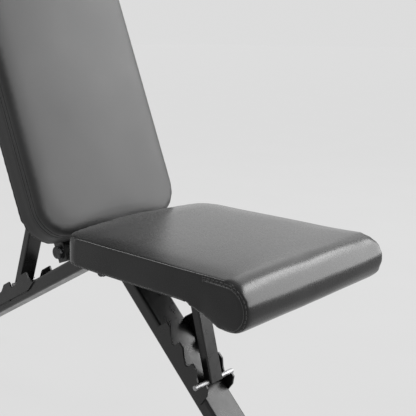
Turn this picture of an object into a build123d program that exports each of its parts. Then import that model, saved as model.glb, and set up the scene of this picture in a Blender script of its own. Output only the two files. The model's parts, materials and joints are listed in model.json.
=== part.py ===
from build123d import *
import os
from math import cos, radians, sin, tan

# Adjustable weight bench. Millimetres, +X towards the seat nose, +Z up.
# The origin lies on the floor, in the middle of the footprint's box.

# ---- driving dimensions ----
SEAT_HEIGHT = 470.0          # floor to the seat's top face
HIP_X = 207.0                # seat's rear top corner, ahead of the origin
TUBE_H = 25.0                # depth of both main tubes
BEAM_W = 50.8                # rear beam, 2 inch tube
LEG_W = 56.0                 # front leg
WALL = 2.0
BEAM_SLOPE = 28.83           # rear beam to the floor, degrees
LEG_SLOPE = 44.2             # front leg to the floor, degrees
BACK_ANGLE = 68.2            # backrest to the floor, degrees
MITRE_GAP = 0.5              # between the two end plates
END_PLATE = 3.0

FOOT_TUBE = 50.0             # square foot tubes
REAR_FOOT_L = 330.0
FRONT_FOOT_L = 380.0
REAR_FOOT_X = -764.0         # from the hip point
FRONT_FOOT_X = 350.0
CAP_SKIN = 5.0               # rubber round the foot tube
CAP_L = 38.0

SEAT_W = 310.0
SEAT_T = 43.0
NOSE_R = 35.0
NOSE_X = 309.5               # centre of the rolled nose
NOSE_WRAP = 25.0             # how far the nose rolls under, degrees past straight down
UNDER_RUN = 16.0             # length of the bend between nose and underside
BACK_W = 294.0
BACK_T = 53.4
BACK_L = 780.0
BACK_LOW = -27.0             # lower end of the backrest pad, along its face
BOARD_T = 12.0

LADDER_T = 3.0
SEAT_PITCH = 38.2            # seat ladder notches
SEAT_PIN_S = 282.1           # lowest seat notch, from the apex along the leg
BACK_PITCH = 66.0            # backrest ladder notches
BACK_PIN_S = 320.0           # notch in use, from the apex along the beam
PIN_R = 4.0
PIN_H = 10.5                 # pin centre above the tube's top face
NOTCH_R = 4.3
SEAT_TOOTH = 21.5            # height of the ladder teeth above the tube
BACK_TOOTH = 19.5
STRUT_END = 2.0              # strut tube beyond the middle of its pin
FIT = 0.05                   # radial clearance of every pivot

SEAT_PIVOT = (-50.0, -63.0)  # X, Z from the hip point
SEAT_STRUT_PIVOT = (107.0, -56.0)
BACK_PIVOT = (-112.0, -62.0)
SEAT_STRUT_SIZE = (15.5, 26.6)
BACK_STRUT_SIZE = (15.5, 33.0)
BACK_STRUT_L = 332.4709
BACK_STRUT_ANGLE = 68.4

SEAT_RAIL_Y = 42.0           # rail centres, each side
SEAT_RAIL = (20.0, 30.0)
BACK_RAIL_Y = 69.5
BACK_RAIL = 25.0

os.makedirs("parts", exist_ok=True)


# ---- frames of reference ----
def hip(x, z):
    """A point given from the hip point, as a vector in the part's own frame."""
    return Vector(HIP_X + x, 0, SEAT_HEIGHT + z)


APEX = hip(-59.0, -41.0)     # where the top faces of beam and leg meet


def bar_frame(point, angle):
    """Local X along a bar at this angle, Y across, Z out of its top face."""
    run = Vector(cos(radians(angle)), 0, sin(radians(angle)))
    rise = Vector(-sin(radians(angle)), 0, cos(radians(angle)))
    return Plane(origin=point, x_dir=run, z_dir=rise)


beam_frame = bar_frame(APEX, BEAM_SLOPE)
leg_frame = bar_frame(APEX, -LEG_SLOPE)
mitre_angle = 90 - (LEG_SLOPE - BEAM_SLOPE) / 2
mitre_frame = bar_frame(APEX, mitre_angle)
FOLD_PIVOT = mitre_frame.from_local_coords((-57.0, 0, 0))
# local X up the backrest, Y across, Z from its front face to the rear
face_run = Vector(-cos(radians(BACK_ANGLE)), 0, sin(radians(BACK_ANGLE)))
face_rear = Vector(-sin(radians(BACK_ANGLE)), 0, -cos(radians(BACK_ANGLE)))
back_frame = Plane(origin=hip(-66.0, 0), x_dir=face_run, z_dir=face_rear)
back_pivot = hip(*BACK_PIVOT)
seat_pivot = hip(*SEAT_PIVOT)
seat_strut_top = hip(*SEAT_STRUT_PIVOT)
seat_pin = leg_frame.from_local_coords((SEAT_PIN_S, 0, PIN_H))
back_pin = beam_frame.from_local_coords((-BACK_PIN_S, 0, PIN_H))
strut_rise = Vector(cos(radians(BACK_STRUT_ANGLE)), 0, sin(radians(BACK_STRUT_ANGLE)))
back_strut_top = back_pin + strut_rise * BACK_STRUT_L


def local(frame, x, y, z):
    return frame.location * Pos(x, y, z)


def save(name, solids):
    """One STEP file for one node, holding one solid or several alike."""
    pieces = solids if isinstance(solids, list) else [solids]
    shape = pieces[0] if len(pieces) == 1 else Compound(children=pieces)
    export_step(shape, f"parts/{name}.step")


# ---- shapes that repeat ----
def cross_cylinder(point, radius, y_from, y_to):
    """A round bar across the bench, along Y."""
    middle = Vector(point.X, (y_from + y_to) / 2, point.Z)
    return Pos(*middle) * Rot(90, 0, 0) * Cylinder(radius, abs(y_to - y_from))


def cross_ring(point, outer, inner, y_from, y_to):
    hole = cross_cylinder(point, inner, y_from - 1, y_to + 1)
    return cross_cylinder(point, outer, y_from, y_to) - hole


def cross_hexagon(point, across_flats, y_from, y_to):
    """A hexagon head or nut lying along Y."""
    middle = Vector(point.X, min(y_from, y_to), point.Z)
    sketch = RegularPolygon(across_flats / 2, 6, major_radius=False)
    blank = extrude(Rot(-90, 0, 0) * sketch, amount=abs(y_to - y_from), dir=(0, 1, 0))
    dome = cross_cylinder(Vector(0, 0, 0), across_flats / 2 * 1.1, 0, abs(y_to - y_from))
    return Pos(*middle) * (blank & chamfer(dome.edges(), 0.9))


def both_sides(make):
    return [make(-1), make(1)]


def rounded_tube(length, width, height, wall, corner):
    """A rectangular tube along X with rounded outer and inner corners."""
    outer = fillet(Box(length, width, height).edges().filter_by(Axis.X), corner)
    inner_r = max(corner - wall, 0.4)
    bore = Box(length + 2, width - 2 * wall, height - 2 * wall)
    return outer - fillet(bore.edges().filter_by(Axis.X), inner_r)


def plate(frame, outline, y_inner, thickness, side):
    """A flat plate with its outline in a bar frame's X and Z, on one side."""
    corners = [frame.from_local_coords((x, side * y_inner, z)) for x, z in outline]
    return extrude(make_face(Polyline(*corners, close=True)), amount=thickness, dir=(0, side, 0))


def hinge_bolt(point, radius, y_head, y_nut, flats):
    """Hexagon bolt along Y: head beyond y_head on the near side, nut at y_nut."""
    thread_end = y_nut + 8.0
    shank = cross_cylinder(point, radius, -y_head, thread_end)
    return shank + cross_hexagon(point, flats, -y_head - 6.0, -y_head)


def hinge_nut(point, radius, y_nut, flats):
    ring = cross_hexagon(point, flats, y_nut, y_nut + 6.5)
    return ring - cross_cylinder(point, radius + FIT, y_nut - 1, y_nut + 9)


def washers(point, radius, outer, y_head, y_nut):
    near = cross_ring(point, outer, radius + FIT, -y_head, -y_head + 1.6)
    far = cross_ring(point, outer, radius + FIT, y_nut - 1.6, y_nut)
    return [near, far]


# ---- fold hinge sizes, shared by both tubes ----
FOLD_R = 5.0
FOLD_FLATS = 14.0
FOLD_WASHER_R = 8.5
FOLD_EYE_R = 8.5
FOLD_PLATE = 5.0
FOLD_LUG = 6.0
FOLD_LUG_Y = 19.0
fold_plate_out = BEAM_W / 2 + FOLD_PLATE
fold_head_y = fold_plate_out + 1.6 + 0.3
SEAT_BOLT_R = 5.0
BACK_BOLT_R = 6.0
HINGE_TUBE_R = 14.0
hinge_tube_half = BACK_RAIL_Y - BACK_RAIL / 2 - 0.5
seat_sleeve_half = SEAT_RAIL_Y - SEAT_RAIL[0] / 2 - 0.5


def halfspace(frame, x_from, x_to):
    """A very large block between two local X stations of a frame."""
    return local(frame, (x_from + x_to) / 2, 0, 0) * Box(abs(x_to - x_from), 900, 2600)


mitre_normal = Plane(origin=APEX, x_dir=-mitre_frame.z_dir, z_dir=mitre_frame.x_dir)
mitre_offset = MITRE_GAP / 2 + END_PLATE


# ---- body: frame ----
def make_main_beam():
    beam = local(beam_frame, -360, 0, -TUBE_H / 2)
    tube = beam * rounded_tube(900, BEAM_W, TUBE_H, WALL, 5)
    tube -= halfspace(mitre_normal, -mitre_offset, 600)
    foot_front = hip(REAR_FOOT_X + FOOT_TUBE / 2, 0)
    tube -= Pos(foot_front.X - 300, 0, 300) * Box(600, 900, 2000)
    return tube - cross_cylinder(back_pivot, HINGE_TUBE_R, -60, 60)


def make_beam_end_plate():
    section = local(beam_frame, 0, 0, -TUBE_H / 2) * Box(200, BEAM_W, TUBE_H)
    return section & halfspace(mitre_normal, -mitre_offset, -MITRE_GAP / 2)


def make_foot_tube(x, length):
    centre = hip(x, 0)
    tube = rounded_tube(length, FOOT_TUBE, FOOT_TUBE, WALL, 6)
    return Pos(centre.X, 0, CAP_SKIN + FOOT_TUBE / 2) * Rot(0, 0, 90) * tube


def make_foot_cap(x, length, side):
    """Rubber cap that wraps the tube's end and stands on the floor."""
    outer = FOOT_TUBE + 2 * CAP_SKIN
    sleeve = fillet(Box(outer, CAP_L, outer).edges().filter_by(Axis.Y), 9)
    sleeve = fillet(sleeve.faces().sort_by(Axis.Y)[-1].edges(), 4)
    socket = fillet(Box(FOOT_TUBE, CAP_L, FOOT_TUBE).edges().filter_by(Axis.Y), 6)
    cap = sleeve - Pos(0, -CAP_SKIN, 0) * socket
    y = length / 2 - CAP_L / 2 + CAP_SKIN
    turn = Rot(0, 0, 0) if side > 0 else Rot(0, 0, 180)
    return Pos(hip(x, 0).X, side * y, CAP_SKIN + FOOT_TUBE / 2) * turn * cap


def notch_arc(s, count=6):
    """Points round the bottom of a notch, from its ramp to its steep face."""
    turns = [215 + (360 - 215) * k / count for k in range(count + 1)]
    return [(s + NOTCH_R * cos(radians(t)), PIN_H + NOTCH_R * sin(radians(t))) for t in turns]


def seat_ladder_outline():
    """Saw-tooth plate: a ramp down into each notch, then a steep face."""
    foot = -TUBE_H / 2
    pins = [SEAT_PIN_S - SEAT_PITCH * k for k in (2, 1, 0)]
    first, last = pins[0], pins[-1]
    points = [(first - 36, foot), (first - 36, 2), (first - 31.5, SEAT_TOOTH)]
    for s in pins:
        points += [(s - 22.5, SEAT_TOOTH), (s - 12, 12.5)] + notch_arc(s)
        points += [(s + NOTCH_R, SEAT_TOOTH - 2.5), (s + NOTCH_R + 1.5, SEAT_TOOTH)]
    return points + [(last + 11, SEAT_TOOTH), (last + 19, 9.5), (last + 22, foot)]


def back_ladder_outline():
    """Broad teeth with a notch in front of each; the foremost notch is open."""
    foot = -TUBE_H / 2
    pins = [BACK_PIN_S + BACK_PITCH * k for k in range(5)]
    open_notch = BACK_PIN_S - BACK_PITCH
    points = [(16, foot), (4, -8), (-8, -4), (-3.5, -1), (0.5, 3), (3, 7), (4.3, 11), (4.3, 17)]
    points += [(5.5, BACK_TOOTH), (32, BACK_TOOTH), (37, 17), (48, 9)]
    points = [(open_notch + s, h) for s, h in points]
    for s in pins:
        points += notch_arc(s) + [(s + NOTCH_R, 17), (s + 6, BACK_TOOTH)]
        if s != pins[-1]:
            points += [(s + 26, BACK_TOOTH), (s + 32, 15.5), (s + 42, 10)]
    last = pins[-1]
    points += [(last + 16, BACK_TOOTH), (last + 22, 8), (last + 24, foot)]
    return [(-s, h) for s, h in points]


def make_hinge_gusset(side):
    """Small side plate that carries the backrest hinge tube on the beam."""
    foot = beam_frame.to_local_coords(back_pivot)
    outline = [(foot.X - 34, -10), (foot.X - 34, 0), (foot.X - 12, 18)]
    outline += [(foot.X + 10, 18), (foot.X + 26, 0), (foot.X + 26, -10)]
    shape = plate(beam_frame, outline, BEAM_W / 2, 4, side)
    return shape - cross_cylinder(back_pivot, HINGE_TUBE_R, -60, 60)


def make_fold_plate(side):
    """Plate on the beam's side that carries the fold bolt below the joint."""
    pivot = beam_frame.to_local_coords(FOLD_PIVOT)
    outline = [(-86, -10.5), (-14, -10.5), (-24, -25), (pivot.X + FOLD_EYE_R, pivot.Z + 1)]
    outline += [(pivot.X, pivot.Z), (pivot.X - 5, pivot.Z - 5), (-54, -42.5), (-72, -32), (-86, -22)]
    shape = plate(beam_frame, outline, BEAM_W / 2, FOLD_PLATE, side)
    inner = BEAM_W / 2
    faces = sorted((side * inner, side * (inner + FOLD_PLATE)))
    shape += cross_cylinder(FOLD_PIVOT, FOLD_EYE_R, *faces)
    return shape - cross_cylinder(FOLD_PIVOT, FOLD_R + FIT, -60, 60)


# ---- body: front_leg ----
def make_front_leg():
    leg = local(leg_frame, 260, 0, -TUBE_H / 2) * rounded_tube(700, LEG_W, TUBE_H, WALL, 5)
    leg -= halfspace(mitre_normal, mitre_offset, -600)
    foot_rear = hip(FRONT_FOOT_X - FOOT_TUBE / 2, 0)
    leg -= Pos(foot_rear.X + 300, 0, 300) * Box(600, 900, 2000)
    return leg - cross_cylinder(seat_pivot, 7, -60, 60)


def make_leg_end_plate():
    section = local(leg_frame, 0, 0, -TUBE_H / 2) * Box(200, LEG_W, TUBE_H)
    return section & halfspace(mitre_normal, MITRE_GAP / 2, mitre_offset)


def make_fold_lug(side):
    """Two-lobed lug under the leg, between the beam's fold plates."""
    pivot = leg_frame.to_local_coords(FOLD_PIVOT)
    lobe_x, lobe_z = pivot.X + 10.7, pivot.Z + 7.6
    outline = [(26, -TUBE_H), (60, -TUBE_H), (lobe_x + 6.5, lobe_z), (lobe_x, lobe_z)]
    outline += [(pivot.X, pivot.Z), (pivot.X - FOLD_EYE_R, pivot.Z)]
    shape = plate(leg_frame, outline, FOLD_LUG_Y, FOLD_LUG, side)
    faces = sorted((side * FOLD_LUG_Y, side * (FOLD_LUG_Y + FOLD_LUG)))
    shape += cross_cylinder(FOLD_PIVOT, FOLD_EYE_R, *faces)
    shape += cross_cylinder(leg_frame.from_local_coords((lobe_x, 0, lobe_z)), 7, *faces)
    return shape - cross_cylinder(FOLD_PIVOT, FOLD_R + 2, -60, 60)


# ---- body: seat ----
def seat_outline():
    """Plan of the seat: a bowed rear edge, rounded corners, a straight nose."""
    rear_x, half = -34.0, SEAT_W / 2
    bow = ThreePointArc((-17, -120), (rear_x, 0), (-17, 120))
    far = ThreePointArc((-17, 120), (-7, 145), (20, half))
    front = Polyline((20, half), (360, half), (360, -half), (20, -half))
    near = ThreePointArc((20, -half), (-7, -145), (-17, -120))
    return make_face([bow, far, *front.edges(), near])


def make_seat_block():
    lean = radians(NOSE_WRAP)
    lower = (NOSE_X - NOSE_R * sin(lean), -NOSE_R * (1 + cos(lean)))
    top = Line((-60, 0), (NOSE_X, 0))
    nose = ThreePointArc((NOSE_X, 0), (NOSE_X + NOSE_R, -NOSE_R), lower)
    knee = lower[0] + (SEAT_T + lower[1]) / tan(lean)
    bend = UNDER_RUN * (1 / cos(lean / 2) - 1) / tan(lean / 2)
    bend_front = (knee + UNDER_RUN * cos(lean), -SEAT_T - UNDER_RUN * sin(lean))
    bend_middle = (knee - bend * sin(lean / 2), -SEAT_T - bend * cos(lean / 2))
    bend_rear = (knee - UNDER_RUN, -SEAT_T)
    slope = Line(lower, bend_front)
    curve = ThreePointArc(bend_front, bend_middle, bend_rear)
    under = Polyline(bend_rear, (-60, -SEAT_T), (-60, 0))
    outline = make_face([top, nose, slope, curve, *under.edges()])
    block = Pos(0, SEAT_W / 2, 0) * Rot(90, 0, 0) * extrude(outline, amount=SEAT_W)
    plan = Pos(0, 0, -200) * extrude(seat_outline(), amount=400)
    return Pos(HIP_X, 0, SEAT_HEIGHT) * (block & plan)


def seat_board_block():
    board = fillet(Box(252, 286, BOARD_T).edges().filter_by(Axis.Z), 22)
    return Pos(HIP_X + 108, 0, SEAT_HEIGHT - SEAT_T + BOARD_T / 2) * board


def make_seat_rail(side):
    length = 278.0
    rail = rounded_tube(length, SEAT_RAIL[0], SEAT_RAIL[1], 1.5, 3)
    height = SEAT_HEIGHT - SEAT_T - SEAT_RAIL[1] / 2
    rail = Pos(HIP_X - 63 + length / 2, side * SEAT_RAIL_Y, height) * rail
    rail -= cross_cylinder(seat_pivot, SEAT_BOLT_R + FIT, -60, 60)
    return rail - cross_cylinder(seat_strut_top, SEAT_BOLT_R + FIT, -60, 60)


def make_seat_rail_plugs():
    height = SEAT_HEIGHT - SEAT_T - SEAT_RAIL[1] / 2
    head = fillet(Box(3, SEAT_RAIL[0], SEAT_RAIL[1]).edges().filter_by(Axis.X), 3)
    plugs = []
    for side in (-1, 1):
        plugs.append(Pos(HIP_X + 216.5, side * SEAT_RAIL_Y, height) * head)
    return plugs


def make_seat_crossbar():
    """Flat bar that ties the two seat rails together under the board."""
    span = 2 * (SEAT_RAIL_Y - SEAT_RAIL[0] / 2)
    return Pos(HIP_X + 190, 0, SEAT_HEIGHT - SEAT_T - 10) * Box(30, span, 20)


def make_seat_screws():
    screws = []
    for x in (20, 170):
        for side in (-1, 1):
            head = Cylinder(6, 3.5)
            spot = hip(x, -SEAT_T - SEAT_RAIL[1] - 1.75)
            screws.append(Pos(spot.X, side * SEAT_RAIL_Y, spot.Z) * head)
    return screws


# ---- body: seat_strut and back_strut ----
def strut_frame(top, foot):
    run = (top - foot).normalized()
    return Plane(origin=foot, x_dir=run, z_dir=run.cross(Vector(0, 1, 0)))


def make_strut(top, foot, size, sleeve_r):
    """A flat tube between its pivot sleeve and the pin near its foot."""
    depth, width = size
    length = (top - foot).length
    frame = strut_frame(top, foot)
    tube = rounded_tube(length + STRUT_END, width, depth, 1.5, 2.5)
    tube = local(frame, (length - STRUT_END) / 2, 0, 0) * tube
    tube -= cross_cylinder(foot, PIN_R, -60, 60)
    return tube - cross_cylinder(top, sleeve_r, -60, 60)


# ---- body: backrest ----
def make_back_block():
    block = Box(BACK_L, BACK_W, BACK_T)
    block = fillet(block.edges().filter_by(Axis.Z), 57)
    block = fillet(block.faces().sort_by(Axis.Z)[0].edges(), 9)
    return local(back_frame, BACK_LOW + BACK_L / 2, 0, BACK_T / 2) * block


def back_board_block():
    board = fillet(Box(BACK_L - 20, BACK_W - 20, BOARD_T).edges().filter_by(Axis.Z), 48)
    return local(back_frame, BACK_LOW + BACK_L / 2, 0, BACK_T - BOARD_T / 2) * board


back_rail_low = back_frame.to_local_coords(back_pivot).X - 14
BACK_RAIL_TOP = 560.0
rail_depth = BACK_T + BACK_RAIL / 2


def make_back_rail(side):
    length = BACK_RAIL_TOP - back_rail_low
    rail = rounded_tube(length, BACK_RAIL, BACK_RAIL, 1.5, 3)
    rail = local(back_frame, back_rail_low + length / 2, side * BACK_RAIL_Y, rail_depth) * rail
    return rail - cross_cylinder(back_pivot, 9, -120, 120)


def make_back_rail_plugs():
    head = fillet(Box(3, BACK_RAIL, BACK_RAIL).edges().filter_by(Axis.X), 3)
    plugs = []
    for station in (back_rail_low - 1.5, BACK_RAIL_TOP + 1.5):
        for side in (-1, 1):
            plugs.append(local(back_frame, station, side * BACK_RAIL_Y, rail_depth) * head)
    return plugs


def make_back_bush(side):
    inner = side * (BACK_RAIL_Y - BACK_RAIL / 2)
    outer = side * (BACK_RAIL_Y + BACK_RAIL / 2)
    return cross_ring(back_pivot, 9, BACK_BOLT_R + FIT, min(inner, outer), max(inner, outer))


def make_back_crossbar(station):
    """Square tube between the two backrest rails."""
    span = 2 * (BACK_RAIL_Y - BACK_RAIL / 2)
    tube = rounded_tube(span, BACK_RAIL, BACK_RAIL, 1.5, 3)
    return local(back_frame, station, 0, rail_depth) * Rot(0, 0, 90) * tube


STRUT_BRACKET_Y = 17.0


def make_strut_bracket(side):
    """Ear behind the lower cross tube that carries the strut's pivot bolt."""
    pivot = back_frame.to_local_coords(back_strut_top)
    rear = BACK_T + BACK_RAIL
    base = bracket_station
    outline = [(base - 12, rear), (base + 12, rear), (pivot.X + 11, pivot.Z + 4)]
    outline += [(pivot.X + 7, pivot.Z + 10), (pivot.X - 7, pivot.Z + 10)]
    outline.append((pivot.X - 11, pivot.Z + 4))
    shape = plate(back_frame, outline, STRUT_BRACKET_Y + 1, 5, side)
    return shape - cross_cylinder(back_strut_top, SEAT_BOLT_R + FIT, -60, 60)


bracket_station = back_frame.to_local_coords(back_strut_top).X
UPPER_BAR = 470.0


def make_back_screws():
    screws = []
    for station in (40, 300, 520):
        for side in (-1, 1):
            depth = BACK_T + BACK_RAIL + 1.75
            spot = local(back_frame, station, side * BACK_RAIL_Y, depth)
            screws.append(spot * Cylinder(6, 3.5))
    return screws


# ---- write every node ----
def side_name(side):
    return "right" if side < 0 else "left"


save("main_beam", make_main_beam())
save("beam_end_plate", make_beam_end_plate())
save("rear_foot_tube", make_foot_tube(REAR_FOOT_X, REAR_FOOT_L))
save("front_foot_tube", make_foot_tube(FRONT_FOOT_X, FRONT_FOOT_L))
save("front_leg", make_front_leg())
save("leg_end_plate", make_leg_end_plate())
for side in (-1, 1):
    tag = side_name(side)
    save(f"rear_foot_cap_{tag}", make_foot_cap(REAR_FOOT_X, REAR_FOOT_L, side))
    save(f"front_foot_cap_{tag}", make_foot_cap(FRONT_FOOT_X, FRONT_FOOT_L, side))
    save(f"seat_ladder_{tag}", plate(leg_frame, seat_ladder_outline(), LEG_W / 2, LADDER_T, side))
    save(f"back_ladder_{tag}", plate(beam_frame, back_ladder_outline(), BEAM_W / 2, LADDER_T, side))
    save(f"hinge_gusset_{tag}", make_hinge_gusset(side))
    save(f"fold_plate_{tag}", make_fold_plate(side))
    save(f"seat_rail_{tag}", make_seat_rail(side))
    save(f"back_rail_{tag}", make_back_rail(side))
    save(f"back_bush_{tag}", make_back_bush(side))
    save(f"strut_bracket_{tag}", make_strut_bracket(side))

# frame: hinges
hinge_tube = cross_ring(back_pivot, HINGE_TUBE_R, BACK_BOLT_R + FIT, -hinge_tube_half, hinge_tube_half)
save("back_hinge_tube", hinge_tube)
back_head_y = BACK_RAIL_Y + BACK_RAIL / 2 + 0.4 + 1.6
save("back_hinge_bolt", hinge_bolt(back_pivot, BACK_BOLT_R, back_head_y, back_head_y, 19))
save("back_hinge_nut", hinge_nut(back_pivot, BACK_BOLT_R, back_head_y, 19))
save("back_hinge_washers", washers(back_pivot, BACK_BOLT_R, 12, back_head_y, back_head_y))
save("fold_bolt", hinge_bolt(FOLD_PIVOT, FOLD_R, fold_head_y, fold_head_y, FOLD_FLATS))
save("fold_nut", hinge_nut(FOLD_PIVOT, FOLD_R, fold_head_y, FOLD_FLATS))
save("fold_washers", washers(FOLD_PIVOT, FOLD_R, FOLD_WASHER_R, fold_head_y, fold_head_y))

# front leg: fold lugs and seat hinge
save("fold_lugs", both_sides(make_fold_lug))
save("fold_sleeve", cross_ring(FOLD_PIVOT, FOLD_R + 2, FOLD_R + FIT, -25, 25))
save("seat_hinge_sleeve", cross_ring(seat_pivot, 7, SEAT_BOLT_R + FIT, -seat_sleeve_half, seat_sleeve_half))
seat_head_y = SEAT_RAIL_Y + SEAT_RAIL[0] / 2 + 0.4
save("seat_hinge_bolt", hinge_bolt(seat_pivot, SEAT_BOLT_R, seat_head_y, seat_head_y, 16))
save("seat_hinge_nut", hinge_nut(seat_pivot, SEAT_BOLT_R, seat_head_y, 16))

# seat
save("seat_pad", make_seat_block() - seat_board_block())
save("seat_board", seat_board_block())
save("seat_crossbar", make_seat_crossbar())
save("seat_rail_plugs", make_seat_rail_plugs())
save("seat_screws", make_seat_screws())
save("seat_strut_bolt", hinge_bolt(seat_strut_top, SEAT_BOLT_R, seat_head_y, seat_head_y, 16))
save("seat_strut_nut", hinge_nut(seat_strut_top, SEAT_BOLT_R, seat_head_y, 16))

# seat strut
save("seat_strut", make_strut(seat_strut_top, seat_pin, SEAT_STRUT_SIZE, 8))
save("seat_strut_sleeve", cross_ring(seat_strut_top, 8, SEAT_BOLT_R + FIT, -seat_sleeve_half, seat_sleeve_half))
save("seat_strut_pin", cross_cylinder(seat_pin, PIN_R, -42, 42))

# backrest
save("back_pad", make_back_block() - back_board_block())
save("back_board", back_board_block())
save("back_rail_plugs", make_back_rail_plugs())
save("back_crossbar_lower", make_back_crossbar(bracket_station))
save("back_crossbar_upper", make_back_crossbar(UPPER_BAR))
save("back_screws", make_back_screws())
bracket_out = STRUT_BRACKET_Y + 6 + 0.4
save("back_strut_bolt", hinge_bolt(back_strut_top, SEAT_BOLT_R, bracket_out, bracket_out, 16))
save("back_strut_nut", hinge_nut(back_strut_top, SEAT_BOLT_R, bracket_out, 16))

# back strut; its pin stops short of the ladder plates
save("back_strut", make_strut(back_strut_top, back_pin, BACK_STRUT_SIZE, 8))
sleeve_half = STRUT_BRACKET_Y + 0.5
save("back_strut_sleeve", cross_ring(back_strut_top, 8, SEAT_BOLT_R + FIT, -sleeve_half, sleeve_half))
save("back_strut_pin", cross_cylinder(back_pin, PIN_R, -25, 25))

for label, point in (("seat", seat_pivot), ("seat strut", seat_strut_top), ("back", back_pivot),
                     ("back strut", back_strut_top), ("fold", FOLD_PIVOT)):
    print(label, "pivot", round(point.X, 3), round(point.Z, 3))
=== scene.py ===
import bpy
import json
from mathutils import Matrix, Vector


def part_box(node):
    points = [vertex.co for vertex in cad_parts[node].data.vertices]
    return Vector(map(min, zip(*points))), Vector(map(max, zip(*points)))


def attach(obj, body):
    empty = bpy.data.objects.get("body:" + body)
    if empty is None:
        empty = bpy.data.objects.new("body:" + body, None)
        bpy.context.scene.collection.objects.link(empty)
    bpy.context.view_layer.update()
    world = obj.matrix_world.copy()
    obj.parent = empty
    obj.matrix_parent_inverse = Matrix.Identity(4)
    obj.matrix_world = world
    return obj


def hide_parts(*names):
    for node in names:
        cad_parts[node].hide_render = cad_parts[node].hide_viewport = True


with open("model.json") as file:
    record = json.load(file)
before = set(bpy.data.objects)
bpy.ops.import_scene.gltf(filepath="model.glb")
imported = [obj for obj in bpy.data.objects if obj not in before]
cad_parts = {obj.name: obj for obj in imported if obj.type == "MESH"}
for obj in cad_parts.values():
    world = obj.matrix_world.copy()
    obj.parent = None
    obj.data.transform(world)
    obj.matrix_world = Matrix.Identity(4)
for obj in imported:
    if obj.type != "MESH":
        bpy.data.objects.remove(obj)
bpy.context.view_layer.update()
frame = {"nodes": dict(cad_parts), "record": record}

import json
import math
import random

import bpy
from mathutils import Vector
from mathutils.bvhtree import BVHTree
from mathutils.kdtree import KDTree

# The adjustable weight bench: cushions, seams, welds, hardware details,
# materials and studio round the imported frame. Metres throughout.

random.seed(7)
NODES = frame["nodes"]
MM = 0.001

# ---- places taken from the frame ----
seat_lo, seat_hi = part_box("seat_pad")
SEAT_TOP = seat_hi.z
NOSE_FRONT = seat_hi.x
NOSE_R = 35 * MM
NOSE_REACH = 344.5 * MM      # hip point to the front of the nose
NOSE_CENTRE = Vector((NOSE_FRONT - NOSE_R, 0, SEAT_TOP - NOSE_R))
HIP_X = NOSE_FRONT - NOSE_REACH
SEAT_HALF = seat_hi.y
SEAT_T = 43 * MM
SEAT_REAR = seat_lo.x

BACK_ANGLE = math.radians(68.2)
BACK_RUN = Vector((-math.cos(BACK_ANGLE), 0, math.sin(BACK_ANGLE)))
BACK_REAR = Vector((-math.sin(BACK_ANGLE), 0, -math.cos(BACK_ANGLE)))
BACK_ORIGIN = Vector((HIP_X - 66 * MM, 0, SEAT_TOP))
BACK_LOW, BACK_LENGTH = -27 * MM, 780 * MM
BACK_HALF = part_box("back_pad")[1].y
BACK_T = 53.4 * MM
BACK_CORNER = 57 * MM

BEAM_SLOPE = math.radians(28.83)
LEG_SLOPE = math.radians(44.2)
APEX = Vector((HIP_X - 59 * MM, 0, SEAT_TOP - 41 * MM))
TUBE_H = 25 * MM
BEAM_HALF = 25.4 * MM

# ---- sizes of the soft parts ----
VOXEL = 5 * MM
ROUNDING = 5                 # smoothing passes on the cover
TUCK = 0.8 * MM              # how far the cover starts inside the pad
CLOTH_FRAMES = 20
EVENING = 12                 # rounds that even out the cloth's moves
PUFF = 2.5 * MM              # most that the pressure may move a point
BACK_CROWN, SEAT_CROWN = 3 * MM, 2.5 * MM
BACK_SEAMS = (13 * MM, 21 * MM)
FLAP_X = HIP_X + 269 * MM    # where the nose's sewn flap begins
FLAP_SEAM, FLAP_ROW, FLAP_SECOND_ROW = 8 * MM, 3.5 * MM, 7 * MM
STITCH, STITCH_GAP, STITCH_R = 4.2 * MM, 1.6 * MM, 0.5 * MM
STITCH_LIFT = 0.25 * MM
STITCH_STEP = 0.9 * MM
STAPLE_PITCH, STAPLE_HALF = 32, 5


def back_point(a, y, d):
    """A point given up the backrest, across it, and behind its front face."""
    return BACK_ORIGIN + BACK_RUN * a + Vector((0, y, 0)) + BACK_REAR * d


def bar_point(slope, sign, s, y, h):
    """A point down a main tube from the apex, across, and above its top."""
    run = Vector((sign * math.cos(slope), 0, -math.sin(slope)))
    rise = Vector((sign * math.sin(slope), 0, math.cos(slope)))
    return APEX + run * s + Vector((0, y, 0)) + rise * h


def beam_point(s, y, h):
    return bar_point(BEAM_SLOPE, -1, s, y, h)


def leg_point(s, y, h):
    return bar_point(LEG_SLOPE, 1, s, y, h)


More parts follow.
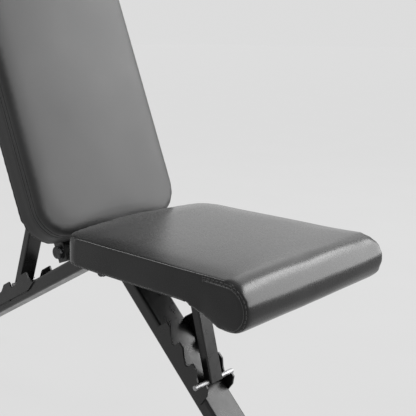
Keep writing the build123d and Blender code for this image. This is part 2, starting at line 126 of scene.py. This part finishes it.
# ---- materials ----
class Shader:
    """A Principled material with short calls for its node tree."""

    def __init__(self, name, **values):
        self.material = bpy.data.materials.new(name)
        self.material.use_nodes = True
        self.tree = self.material.node_tree
        self.bsdf = self.tree.nodes["Principled BSDF"]
        for socket, value in values.items():
            self.bsdf.inputs[socket.replace("_", " ")].default_value = value
        self.coords = self.node("ShaderNodeTexCoord").outputs["Object"]

    def node(self, kind, **values):
        node = self.tree.nodes.new(kind)
        for key, value in values.items():
            if key in node.inputs:
                node.inputs[key].default_value = value
            else:
                setattr(node, key, value)
        return node

    def link(self, source, target):
        self.tree.links.new(source, target)

    def mapped(self, scale):
        mapping = self.node("ShaderNodeMapping")
        mapping.inputs["Scale"].default_value = scale
        self.link(self.coords, mapping.inputs["Vector"])
        return mapping.outputs["Vector"]

    def noise(self, scale, detail=3.0, roughness=0.5, stretch=(1, 1, 1)):
        node = self.node("ShaderNodeTexNoise", Scale=scale, Detail=detail, Roughness=roughness)
        self.link(self.mapped(stretch), node.inputs["Vector"])
        return node.outputs["Fac"]

    def cells(self, scale, feature="DISTANCE_TO_EDGE"):
        node = self.node("ShaderNodeTexVoronoi", Scale=scale)
        node.feature = feature
        self.link(self.mapped((1, 1, 1)), node.inputs["Vector"])
        return node.outputs["Distance"]

    def spread(self, value, low, high, from_low=0.35, from_high=0.65):
        node = self.node("ShaderNodeMapRange")
        node.inputs["From Min"].default_value = from_low
        node.inputs["From Max"].default_value = from_high
        node.inputs["To Min"].default_value = low
        node.inputs["To Max"].default_value = high
        self.link(value, node.inputs["Value"])
        return node.outputs["Result"]

    def colours(self, value, dark, light, low=0.35, high=0.65):
        ramp = self.node("ShaderNodeValToRGB")
        ramp.color_ramp.elements[0].position = low
        ramp.color_ramp.elements[1].position = high
        ramp.color_ramp.elements[0].color = (*dark, 1)
        ramp.color_ramp.elements[1].color = (*light, 1)
        self.link(value, ramp.inputs["Fac"])
        self.link(ramp.outputs["Color"], self.bsdf.inputs["Base Color"])
        return ramp.outputs["Color"]

    def blend(self, a, b, factor):
        node = self.node("ShaderNodeMix", data_type="FLOAT")
        node.inputs["Factor"].default_value = factor
        self.link(a, node.inputs["A"])
        self.link(b, node.inputs["B"])
        return node.outputs["Result"]

    def rough(self, value, low, high):
        self.link(self.spread(value, low, high), self.bsdf.inputs["Roughness"])

    def bump(self, *layers):
        """Stacks bump layers given as (height, strength, distance)."""
        below = None
        for height, strength, distance in layers:
            node = self.node("ShaderNodeBump", Strength=strength, Distance=distance)
            self.link(height, node.inputs["Height"])
            if below:
                self.link(below, node.inputs["Normal"])
            below = node.outputs["Normal"]
        self.link(below, self.bsdf.inputs["Normal"])


def leather(name, stretch, dark=0.010, light=0.017, rough=(0.36, 0.46), grain=0.35,
            gloss=0.6, sheen=0.12):
    """Fine-grained black imitation leather with faint rolling streaks."""
    m = Shader(name, Specular_IOR_Level=gloss, Sheen_Weight=sheen, Sheen_Roughness=0.3)
    cloud = m.noise(9, 4)
    m.colours(cloud, (dark,) * 3, (light, light, light * 1.03))
    streaks = m.noise(120, 3, 0.6, stretch)
    m.rough(m.blend(streaks, cloud, 0.4), *rough)
    pebble = m.cells(900)
    pores = m.noise(2600, 2)
    m.bump((m.noise(14, 3), 0.10, 0.002), (streaks, 0.08, 0.0006),
           (m.spread(pebble, 0, 1, 0.0, 0.25), grain, 0.00012), (pores, 0.2, 0.00008))
    return m.material


def powder_coat(name, base=0.004, rough=(0.26, 0.36)):
    """Satin-black powder coat: orange peel, fine speckle, slight dust."""
    m = Shader(name, Specular_IOR_Level=0.36)
    dust = m.noise(22, 5, 0.65)
    m.colours(dust, (base,) * 3, (base * 1.7,) * 3, 0.3, 0.75)
    m.rough(m.noise(60, 3), *rough)
    m.bump((m.noise(420, 2), 0.12, 0.00025), (m.noise(1500, 2), 0.15, 0.00008))
    return m.material


def bare_metal(name, base, rough, stretch=(1, 40, 1)):
    """Zinc-bright steel with fine turning marks and a few stains."""
    m = Shader(name, Metallic=1.0)
    stain = m.noise(55, 4, 0.6)
    m.colours(stain, (base * 0.75,) * 3, (base, base, base * 1.02))
    marks = m.noise(500, 2, 0.5, stretch)
    m.rough(marks, *rough)
    m.bump((marks, 0.12, 0.00008), (m.noise(900, 2), 0.08, 0.00006))
    return m.material


def black_oxide(name):
    m = Shader(name, Metallic=0.75)
    worn = m.noise(180, 4, 0.7)
    m.colours(worn, (0.020,) * 3, (0.060, 0.060, 0.064), 0.42, 0.72)
    m.rough(m.noise(300, 2), 0.28, 0.42)
    m.bump((m.noise(700, 2), 0.15, 0.0001))
    return m.material


def moulded(name, base, rough, speckle):
    """Moulded rubber or plastic with a spark-eroded surface."""
    m = Shader(name, Specular_IOR_Level=0.4)
    m.colours(m.noise(35, 4), (base,) * 3, (base * 1.5,) * 3)
    m.rough(m.noise(90, 3), *rough)
    m.bump((m.cells(speckle, "F1"), 0.3, 0.00012), (m.noise(speckle * 2, 2), 0.2, 0.00008))
    return m.material


def backing_cloth(name):
    """Thin black non-woven cloth, embossed with small dots."""
    m = Shader(name, Specular_IOR_Level=0.25, Sheen_Weight=0.3)
    m.colours(m.noise(260, 4, 0.7), (0.010,) * 3, (0.024,) * 3)
    m.rough(m.noise(120, 2), 0.75, 0.9)
    m.bump((m.cells(420, "F1"), 0.5, 0.0003), (m.noise(1100, 3), 0.4, 0.0002))
    return m.material


def thread(name):
    m = Shader(name, Roughness=0.6, Sheen_Weight=0.2)
    m.colours(m.noise(1800, 2), (0.008,) * 3, (0.02,) * 3)
    m.bump((m.noise(2500, 2, 0.5, (1, 1, 3)), 0.4, 0.0002))
    return m.material


M_BACK = leather("leather_back", (9, 9, 1), 0.006, 0.010, (0.44, 0.54), 0.35, 0.45, 0.05)
M_SEAT = leather("leather_seat", (1, 9, 1), 0.004, 0.008, (0.24, 0.32), 0.08, 0.30, 0.08)
M_PIPING = leather("leather_piping", (1, 1, 1), 0.006, 0.010, (0.34, 0.42), 0.2)
M_PAINT = powder_coat("powder_coat_black")
M_WELD = powder_coat("powder_coat_weld", 0.006, (0.30, 0.42))
M_PIN = bare_metal("bright_pin", 0.34, (0.50, 0.60))
M_BOLT = black_oxide("black_oxide")
M_RUBBER = moulded("foot_rubber", 0.014, (0.55, 0.7), 420)
M_PLASTIC = moulded("black_plastic", 0.012, (0.38, 0.5), 700)
M_CLOTH = backing_cloth("backing_cloth")
M_THREAD = thread("stitch_thread")
M_STAPLE = bare_metal("staple_wire", 0.5, (0.3, 0.45))

SLOT_MATERIAL = {
    "padding": M_SEAT, "plywood": M_CLOTH, "black_paint": M_PAINT, "bright_pin": M_PIN,
    "zinc_hardware": M_BOLT, "foot_rubber": M_RUBBER, "black_plastic": M_PLASTIC,
}


def dress_frame():
    """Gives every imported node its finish."""
    for part in frame["record"]["subparts"]:
        mesh = NODES[part["node"]].data
        mesh.materials.clear()
        mesh.materials.append(SLOT_MATERIAL[part["material_slot"]])


# ---- mesh helpers ----
def new_piece(name, mesh, material, body):
    piece = bpy.data.objects.new(name, mesh)
    bpy.context.scene.collection.objects.link(piece)
    mesh.materials.clear()
    mesh.materials.append(material)
    shade_smooth(mesh)
    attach(piece, body)
    return piece


def shade_smooth(mesh):
    for polygon in mesh.polygons:
        polygon.use_smooth = True


def mesh_from(verts, faces, name):
    mesh = bpy.data.meshes.new(name)
    mesh.from_pydata([tuple(v) for v in verts], [], faces)
    mesh.validate()
    return mesh


class Tubes:
    """Collects thin tubes along point lists into one mesh."""

    def __init__(self, sides=8):
        self.verts, self.faces, self.sides = [], [], sides

    def add(self, points, radius, closed=False, ripple=None, flatten=1.0):
        count, sides = len(points), self.sides
        base = len(self.verts)
        for i, p in enumerate(points):
            ahead = points[(i + 1) % count] if closed or i + 1 < count else p
            behind = points[i - 1] if closed or i > 0 else p
            along = (ahead - behind).normalized()
            side = along.cross(Vector((0.31, 0.17, 0.93)))
            if side.length < 0.1:
                side = along.cross(Vector((0.9, 0.3, 0.1)))
            side.normalize()
            up = along.cross(side)
            r = radius * (ripple(i) if ripple else 1.0)
            for k in range(sides):
                t = 2 * math.pi * k / sides
                self.verts.append(p + side * (r * math.cos(t)) + up * (r * flatten * math.sin(t)))
        rings = count if closed else count - 1
        for i in range(rings):
            for k in range(sides):
                a = base + i * sides + k
                b = base + i * sides + (k + 1) % sides
                c = base + ((i + 1) % count) * sides + (k + 1) % sides
                d = base + ((i + 1) % count) * sides + k
                self.faces.append((a, b, c, d))
        if not closed:
            self.faces.append(tuple(base + k for k in reversed(range(sides))))
            last = base + (count - 1) * sides
            self.faces.append(tuple(last + k for k in range(sides)))

    def piece(self, name, material, body, slot):
        return new_piece(name, mesh_from(self.verts, self.faces, name), material, body)


def sample_path(points, step):
    """Evenly spaced points along a polyline."""
    out = [points[0]]
    for a, b in zip(points, points[1:]):
        length = (b - a).length
        count = max(1, round(length / step))
        out += [a.lerp(b, k / count) for k in range(1, count + 1)]
    return out


def apply_modifiers(piece):
    graph = bpy.context.evaluated_depsgraph_get()
    mesh = bpy.data.meshes.new_from_object(piece.evaluated_get(graph))
    piece.modifiers.clear()
    piece.data = mesh


# ---- cushions ----
def cushion(node, name, material, body, is_cover):
    """A padded cushion from a CAD solid: remeshed, rounded, then inflated.

    is_cover(point) is 0 on the back of the pad and 1 where the cover is free.
    """
    mesh = NODES[node].data.copy()
    piece = new_piece(name, mesh, material, body)
    remesh = piece.modifiers.new("remesh", "REMESH")
    remesh.mode = "VOXEL"
    remesh.voxel_size = VOXEL
    apply_modifiers(piece)
    free = piece.vertex_groups.new(name="free")
    held = piece.vertex_groups.new(name="held")
    for v in piece.data.vertices:
        weight = is_cover(v.co)
        free.add([v.index], weight, "REPLACE")
        held.add([v.index], 1.0 - weight, "REPLACE")
    smooth = piece.modifiers.new("round", "SMOOTH")
    smooth.factor = 0.5
    smooth.iterations = ROUNDING
    smooth.vertex_group = "free"
    shrink = piece.modifiers.new("shrink", "DISPLACE")
    shrink.strength = -TUCK
    shrink.mid_level = 0.0
    shrink.vertex_group = "free"
    apply_modifiers(piece)
    inflate(piece)
    divide = piece.modifiers.new("divide", "SUBSURF")
    divide.levels = 1
    apply_modifiers(piece)
    shade_smooth(piece.data)
    piece.data.materials.clear()
    piece.data.materials.append(material)
    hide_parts(node)
    return piece


def inflate(piece):
    """Pressure-filled cloth, held at the board, with each point's move capped."""
    start = [v.co.copy() for v in piece.data.vertices]
    cloth = piece.modifiers.new("cloth", "CLOTH")
    settings = cloth.settings
    settings.quality = 4
    settings.mass = 0.3
    settings.use_pressure = True
    settings.uniform_pressure_force = 4.0
    settings.tension_stiffness = 22
    settings.compression_stiffness = 18
    settings.shear_stiffness = 10
    settings.bending_stiffness = 1.2
    settings.vertex_group_mass = "held"
    settings.effector_weights.gravity = 0.0
    cloth.collision_settings.use_collision = False
    cloth.collision_settings.use_self_collision = False
    scene = bpy.context.scene
    cloth.point_cache.frame_start = 1
    cloth.point_cache.frame_end = CLOTH_FRAMES
    for step in range(1, CLOTH_FRAMES + 1):
        scene.frame_set(step)
    graph = bpy.context.evaluated_depsgraph_get()
    moved = [v.co.copy() for v in piece.evaluated_get(graph).data.vertices]
    piece.modifiers.clear()
    moves = [b - a for a, b in zip(start, moved)]
    moves = [move * min(1.0, PUFF / max(move.length, 1e-9)) for move in moves]
    moves = averaged(piece.data, moves, EVENING)
    for v, a, move in zip(piece.data.vertices, start, moves):
        v.co = a + move
    scene.frame_set(1)


def averaged(mesh, moves, rounds):
    """Evens out the moves of neighbouring points."""
    around = [[] for _ in mesh.vertices]
    for edge in mesh.edges:
        a, b = edge.vertices
        around[a].append(b)
        around[b].append(a)
    for _ in range(rounds):
        moves = [(m + sum((moves[k] for k in near), Vector())) / (len(near) + 1)
                 for m, near in zip(moves, around)]
    return moves


def cover_of_back(p):
    depth = (p - BACK_ORIGIN).dot(BACK_REAR)
    return min(1.0, max(0.0, (BACK_T - 6 * MM - depth) / (12 * MM)))


def cover_of_seat(p):
    """The seat's cover is free except on the flat underside with the board."""
    if p.z > SEAT_TOP - SEAT_T + 8 * MM or p.x > HIP_X + 262 * MM:
        return 1.0
    return min(1.0, max(0.0, (p.z - (SEAT_TOP - SEAT_T)) / (8 * MM)))


def crowned(piece, height, rise_at):
    """Raises the middle of a cushion's face into a low crown."""
    for v in piece.data.vertices:
        amount, direction = rise_at(v.co)
        v.co += direction * (height * amount)


def back_crown(p):
    rel = p - BACK_ORIGIN
    depth = rel.dot(BACK_REAR)
    along = (rel.dot(BACK_RUN) - BACK_LOW) / BACK_LENGTH * 2 - 1
    across = p.y / BACK_HALF
    face = min(1.0, max(0.0, 1 - depth / (14 * MM)))
    return face * (1 - across ** 2) * (1 - along ** 6), -BACK_REAR


def seat_crown(p):
    across = p.y / SEAT_HALF
    rear = min(1.0, max(0.0, (p.x - SEAT_REAR) / (60 * MM)))
    front = min(1.0, max(0.0, (NOSE_FRONT - p.x) / (70 * MM)))
    face = min(1.0, max(0.0, 1 - (SEAT_TOP - p.z) / (14 * MM)))
    return face * (1 - across ** 4) * rear ** 0.6 * front ** 0.5, Vector((0, 0, 1))


# ---- seams ----
def on_surface(tree, points, lift=0.0):
    """The nearest surface points, lifted a little along the normal."""
    found = []
    for p in points:
        location, normal, _, _ = tree.find_nearest(p)
        found.append(location + normal * lift)
    return found


def surface_tree(piece):
    return BVHTree.FromObject(piece, bpy.context.evaluated_depsgraph_get())


def press_seam(piece, points, depth, width):
    """Draws the cover in along a seam, as the thread does."""
    tree = KDTree(len(points))
    for i, p in enumerate(points):
        tree.insert(p, i)
    tree.balance()
    normals = [v.normal.copy() for v in piece.data.vertices]
    for v, normal in zip(piece.data.vertices, normals):
        _, _, distance = tree.find(v.co)
        if distance < 3 * width:
            v.co -= normal * (depth * math.exp(-(distance / width) ** 2))


def rounded_outline(half_x, half_y, corner, step):
    """A rounded rectangle as points, counter-clockwise."""
    points = []
    for cx, cy, start in ((1, 1, 0), (-1, 1, 90), (-1, -1, 180), (1, -1, 270)):
        count = 14
        for k in range(count + 1):
            t = math.radians(start + 90 * k / count)
            x = cx * (half_x - corner) + corner * math.cos(t)
            y = cy * (half_y - corner) + corner * math.sin(t)
            points.append(Vector((x, y, 0)))
    points.append(points[0])
    return sample_path(points, step)[:-1]


def back_ring(depth, step=4 * MM):
    mid = BACK_LOW + BACK_LENGTH / 2
    outline = rounded_outline(BACK_LENGTH / 2, BACK_HALF, BACK_CORNER, step)
    return [back_point(mid + p.x, p.y, depth) for p in outline]


def seat_side_path(inset, side, start_x, end_angle):
    """Along the seat's top edge and round the nose, set in from the edge."""
    y = side * SEAT_HALF
    z = SEAT_TOP - inset
    path = [Vector((start_x, y, z)), Vector((NOSE_CENTRE.x, y, z))]
    count = 28
    for k in range(1, count + 1):
        t = math.radians(90 - end_angle * k / count)
        r = NOSE_R - inset
        path.append(Vector((NOSE_CENTRE.x + r * math.cos(t), y, NOSE_CENTRE.z + r * math.sin(t))))
    return sample_path(path, 3 * MM)


def stitches(tubes, path, length, gap, radius):
    """Separate threads along a path of closely spaced points."""
    run, current = 0.0, [path[0]]
    drawing = True
    for a, b in zip(path, path[1:]):
        run += (b - a).length
        current.append(b)
        if run >= (length if drawing else gap):
            if drawing:
                tubes.add(current, radius)
            current, run, drawing = [b], 0.0, not drawing


def sew_back(piece):
    """Two seams close together round the side, near the front face."""
    rings = [back_ring(depth) for depth in BACK_SEAMS]
    tree = surface_tree(piece)
    rings = [on_surface(tree, ring) for ring in rings]
    for ring in rings:
        press_seam(piece, ring, 1.1 * MM, 2.6 * MM)
    tree = surface_tree(piece)
    seams = Tubes(8)
    for ring in rings:
        seams.add(on_surface(tree, ring, 0.1 * MM), 0.85 * MM, closed=True)
    seams.piece("back_seams", M_PIPING, "backrest", "padding")
    hem = Tubes(8)
    hem.add(on_surface(tree, back_ring(BACK_T - 1.5 * MM), 0.2 * MM), 1.1 * MM, closed=True)
    hem.piece("back_hem", M_PIPING, "backrest", "padding")


def sew_seat(piece):
    tree = surface_tree(piece)
    long_seams, flap_rows = [], []
    for side in (-1, 1):
        long_seams.append(on_surface(tree, seat_side_path(FLAP_SEAM, side, FLAP_X, 195)))
        flap_rows.append(on_surface(tree, seat_side_path(FLAP_ROW, side, FLAP_X, 150)))
    for line in long_seams:
        press_seam(piece, line, 0.8 * MM, 2.4 * MM)
    for line in flap_rows:
        press_seam(piece, line, 0.5 * MM, 1.8 * MM)
    tree = surface_tree(piece)
    seams, sewing = Tubes(8), Tubes(6)
    for line in long_seams:
        seams.add(on_surface(tree, line, 0.1 * MM), 0.8 * MM)
    for side, row in zip((-1, 1), flap_rows):
        second = seat_side_path(FLAP_SECOND_ROW, side, FLAP_X, 60)
        for line in (row, second):
            fine = sample_path(on_surface(tree, line, STITCH_LIFT), STITCH_STEP)
            stitches(sewing, fine, STITCH, STITCH_GAP, STITCH_R)
        y = side * SEAT_HALF
        ends = [Vector((FLAP_X, y - side * 2 * MM, SEAT_TOP)),
                Vector((FLAP_X, y, SEAT_TOP - 10 * MM))]
        across = on_surface(tree, sample_path(ends, 1 * MM), STITCH_LIFT)
        sewing.add(sample_path(across, STITCH_STEP), 0.6 * MM)
    seams.piece("seat_seams", M_PIPING, "seat", "padding")
    sewing.piece("seat_stitches", M_THREAD, "seat", "padding")
    hem = Tubes(8)
    for side in (-1, 1):
        y = side * SEAT_HALF
        low = SEAT_TOP - SEAT_T + 1.2 * MM
        ends = [Vector((HIP_X + 8 * MM, y, low)), Vector((HIP_X + 240 * MM, y, low))]
        line = sample_path(ends, 3 * MM)
        hem.add(on_surface(tree, line, 0.2 * MM), 1.0 * MM)
    hem.piece("seat_hem", M_SEAT, "seat", "padding")


# ---- staples on the pad backs ----
def staple_row(tubes, points, normal):
    for a, b in zip(points, points[1:]):
        along = (b - a).normalized()
        for k in range(int((b - a).length / (STAPLE_PITCH * MM)) + 1):
            turn = random.uniform(-0.25, 0.25)
            mid = a + along * (k * STAPLE_PITCH + 10) * MM
            if (mid - a).length > (b - a).length:
                continue
            across = along.cross(normal)
            lean = along * math.cos(turn) + across * math.sin(turn)
            ends = [mid - lean * STAPLE_HALF * MM, mid + lean * STAPLE_HALF * MM]
            top = normal * 0.5 * MM
            tubes.add([ends[0] - normal * MM, ends[0] + top, ends[1] + top, ends[1] - normal * MM],
                      0.4 * MM)


def staple_pads():
    wires = Tubes(6)
    inset = 22 * MM
    a0, a1 = BACK_LOW + inset, BACK_LOW + BACK_LENGTH - inset
    w = BACK_HALF - inset
    corner = BACK_CORNER
    for path in (((a0 + corner, -w), (a1 - corner, -w)), ((a0 + corner, w), (a1 - corner, w)),
                 ((a0, -w + corner), (a0, w - corner)), ((a1, -w + corner), (a1, w - corner))):
        ends = [back_point(a, y, BACK_T) for a, y in path]
        staple_row(wires, ends, BACK_REAR)
    wires.piece("back_staples", M_STAPLE, "backrest", "bright_pin")
    wires = Tubes(6)
    under = SEAT_TOP - SEAT_T
    x0, x1, w = HIP_X - 4 * MM, HIP_X + 222 * MM, SEAT_HALF - 26 * MM
    down = Vector((0, 0, -1))
    for (xa, ya), (xb, yb) in (((x0, -w), (x1, -w)), ((x0, w), (x1, w)), ((x0, -w), (x0, w)),
                               ((x1, -w), (x1, w))):
        staple_row(wires, [Vector((xa, ya, under)), Vector((xb, yb, under))], down)
    wires.piece("seat_staples", M_STAPLE, "seat", "bright_pin")


# ---- welds ----
FOOT_BEAD, LADDER_BEAD = 2.2 * MM, 1.6 * MM
BEAD_OUT = 0.6 * MM          # beads stand proud of the tube's side
LADDER_FOOT = -13.2 * MM     # below the tube's top face
FOOT_TOP = 53 * MM
# start and length of each bead down the tube, in millimetres
BACK_LADDER_BEADS = ((276, 26), (345, 30), (430, 30), (520, 30), (600, 22))
SEAT_LADDER_BEADS = ((182, 24), (236, 24), (280, 20))


def weld(tubes, corners, radius=2.0 * MM, closed=False):
    """A rippled bead along a line of corners."""
    path = sample_path(corners + ([corners[0]] if closed else []), 0.9 * MM)
    if closed:
        path = path[:-1]
    phase = random.random() * 6
    tubes.add(path, radius, closed, lambda i: 1 + 0.13 * math.sin(i * 1.9 + phase), 0.8)


def weld_frame():
    """Beads where tubes, plates and foot tubes are joined."""
    frame_beads, leg_beads = Tubes(8), Tubes(8)
    leg_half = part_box("front_leg")[1].y
    rear_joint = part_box("rear_foot_tube")[1].x
    front_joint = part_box("front_foot_tube")[0].x
    weld(frame_beads, tube_section(rear_joint, BEAM_HALF, BEAM_SLOPE), FOOT_BEAD, closed=True)
    weld(leg_beads, tube_section(front_joint, leg_half, LEG_SLOPE), FOOT_BEAD, closed=True)
    for side in (-1, 1):
        weld_ladder(frame_beads, beam_point, side * (BEAM_HALF + BEAD_OUT), BACK_LADDER_BEADS)
        weld_ladder(leg_beads, leg_point, side * (leg_half + BEAD_OUT), SEAT_LADDER_BEADS)
    frame_beads.piece("frame_welds", M_WELD, "frame", "black_paint")
    leg_beads.piece("leg_welds", M_WELD, "front_leg", "black_paint")


def weld_ladder(beads, point_at, y, runs):
    """Short beads along a ladder plate's lower edge."""
    for start, length in runs:
        ends = [point_at(s * MM, y, LADDER_FOOT) for s in (start, start + length)]
        weld(beads, ends, LADDER_BEAD)


def tube_section(x, half, slope):
    """Corners of a main tube where it meets its foot tube."""
    top = APEX.z - abs(x - APEX.x) * math.tan(slope)
    low = top - TUBE_H / math.cos(slope)
    top = min(top, FOOT_TOP)
    inset = 2 * MM
    return [Vector((x, -half + inset, top)), Vector((x, half - inset, top)),
            Vector((x, half, low)), Vector((x, -half, low))]


# ---- studio ----
BACKDROP = 0.72              # brightness of background and floor
LENS, SENSOR = 66.75, 36.0
CAMERA_PLACE = (HIP_X + 0.8793, -0.8086, SEAT_TOP + 0.2901)
CAMERA_YAW, CAMERA_PITCH = math.radians(42.48), math.radians(-13.02)
FLOOR_HALF = 30


def make_camera():
    data = bpy.data.cameras.new("camera")
    data.lens = LENS
    data.sensor_width = SENSOR
    camera = bpy.data.objects.new("camera", data)
    bpy.context.scene.collection.objects.link(camera)
    camera.location = CAMERA_PLACE
    camera.rotation_euler = (math.radians(90) + CAMERA_PITCH, 0, CAMERA_YAW)
    bpy.context.scene.camera = camera


def area_light(name, place, target, size, power, size_y=None):
    data = bpy.data.lights.new(name, "AREA")
    data.energy = power
    data.size = size
    if size_y:
        data.shape = "RECTANGLE"
        data.size_y = size_y
    lamp = bpy.data.objects.new(name, data)
    bpy.context.scene.collection.objects.link(lamp)
    lamp.location = place
    aim = Vector(target) - Vector(place)
    lamp.rotation_euler = aim.to_track_quat("-Z", "Y").to_euler()
    return lamp


def make_studio():
    world = bpy.data.worlds.new("studio")
    bpy.context.scene.world = world
    world.use_nodes = True
    shade = world.node_tree.nodes["Background"]
    shade.inputs["Color"].default_value = (BACKDROP, BACKDROP, BACKDROP, 1)
    shade.inputs["Strength"].default_value = 1.0
    corners = [(x * FLOOR_HALF, y * FLOOR_HALF, 0) for x, y in ((-1, -1), (1, -1), (1, 1), (-1, 1))]
    mesh = mesh_from(corners, [(0, 1, 2, 3)], "floor")
    floor = bpy.data.objects.new("floor", mesh)
    bpy.context.scene.collection.objects.link(floor)
    m = Shader("floor_paper", Roughness=0.9, Specular_IOR_Level=0.1)
    m.colours(m.noise(3, 2), (0.018,) * 3, (0.022,) * 3)
    m.bsdf.inputs["Emission Color"].default_value = (BACKDROP, BACKDROP, BACKDROP, 1)
    m.bsdf.inputs["Emission Strength"].default_value = 0.945
    mesh.materials.append(m.material)
    area_light("key", (2.2, 2.4, 1.9), (0, 0, 0.7), 3.2, 210)
    area_light("nose", (0.9, 1.6, 2.0), (0.5, 0, 0.45), 0.7, 14)
    area_light("bridge", (-0.3, 1.9, 2.05), (0.5, 0, 0.45), 1.3, 9)
    glow = area_light("glow", (-1.7, 2.2, 1.75), (0.3, 0, 0.5), 2.4, 9.5, 2.6)
    glow.visible_camera = False
    area_light("edge", (-1.3, -0.75, 2.3), (0.3, -0.15, 0.45), 1.0, 26)
    bpy.context.scene.view_settings.view_transform = "Standard"


make_camera()
make_studio()
dress_frame()
back_cushion = cushion("back_pad", "back_cushion", M_BACK, "backrest", cover_of_back)
crowned(back_cushion, BACK_CROWN, back_crown)
seat_cushion = cushion("seat_pad", "seat_cushion", M_SEAT, "seat", cover_of_seat)
crowned(seat_cushion, SEAT_CROWN, seat_crown)
sew_back(back_cushion)
sew_seat(seat_cushion)
staple_pads()
weld_frame()
